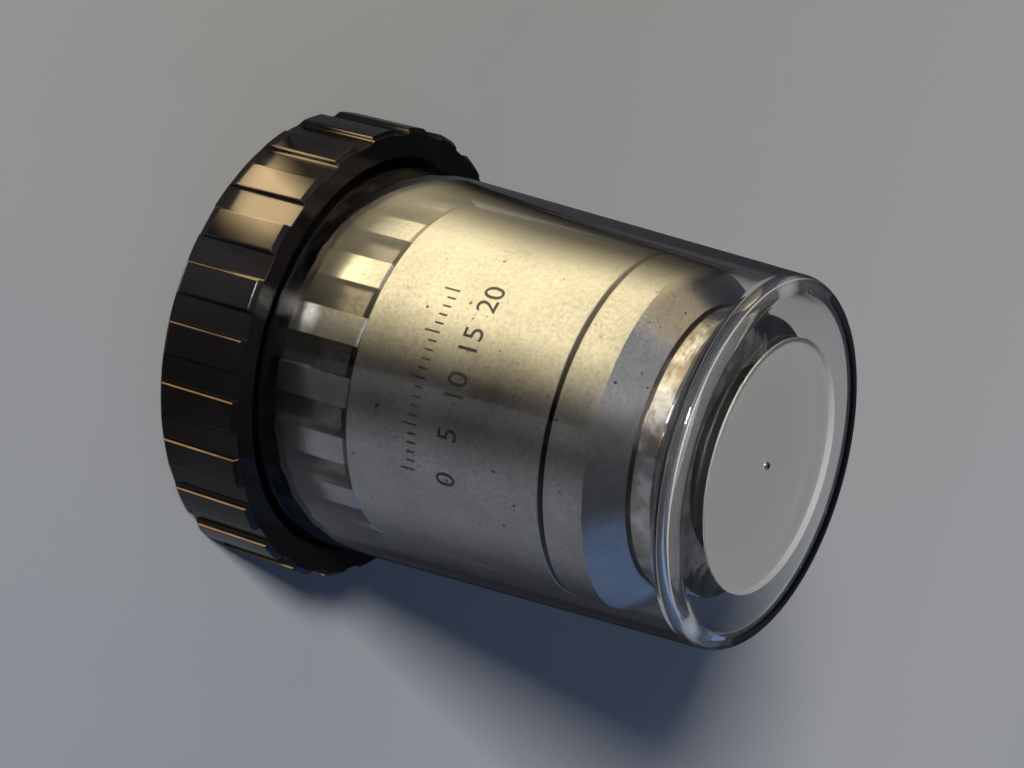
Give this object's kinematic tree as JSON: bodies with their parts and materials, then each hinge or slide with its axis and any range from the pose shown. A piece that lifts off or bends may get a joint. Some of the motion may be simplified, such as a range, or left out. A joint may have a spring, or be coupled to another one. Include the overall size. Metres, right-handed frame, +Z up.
{
  "type": "microscope objective",
  "caption": "Brightfield and darkfield microscope objective, screwed into the fluted black base of its storage can under a clear lift-off cover.",
  "frame": {"origin": "centre of the ring that the can's base stands on", "axes": "+Z up along the optical axis, from the mounting thread towards the front lens; +X and +Y through the middle of lands of the base"},
  "size_m": [0.044, 0.044, 0.052],
  "materials": {
    "black_moulding": "glossy black moulding",
    "clear_moulding": "clear moulding",
    "satin_chrome": "satin chrome on brass",
    "polished_chrome": "polished chrome on brass",
    "mirror_coat": "front-silvered",
    "blackened_brass": "matt black",
    "bare_brass": "turned",
    "optical_glass": "polished and coated"
  },
  "bodies": {
    "base": {"can_base": "black_moulding"},
    "cover": {"can_cover": "clear_moulding"},
    "objective": {"mount_body": "satin_chrome", "outer_sleeve": "satin_chrome", "front_ring": "satin_chrome", "nose_ring": "polished_chrome", "ring_mirror": "mirror_coat", "lens_barrel": "blackened_brass", "front_cell": "blackened_brass", "second_cell": "blackened_brass", "doublet_1_cell": "blackened_brass", "doublet_2_cell": "blackened_brass", "rear_cell": "blackened_brass", "front_spacer": "blackened_brass", "middle_spacer": "blackened_brass", "rear_spacer": "blackened_brass", "aperture_stop": "blackened_brass", "retaining_ring": "blackened_brass", "barrel_carrier": "blackened_brass", "mirror_retainer": "blackened_brass", "carrier_lock_ring": "bare_brass", "barrel_nut": "bare_brass", "front_lens": "optical_glass", "second_lens": "optical_glass", "flint_1": "optical_glass", "crown_1": "optical_glass", "flint_2": "optical_glass", "crown_2": "optical_glass", "rear_lens": "optical_glass"}
  },
  "joints": [
    {"name": "cover_lift", "type": "slide", "parent": "base", "child": "cover", "axis": [0, 0, 1], "range_m": [0, 0.05]},
    {"name": "objective_turn", "type": "hinge", "parent": "base", "child": "objective", "pos_m": [0, 0, 0.009], "axis": [0, 0, 1], "continuous": true}
  ]
}
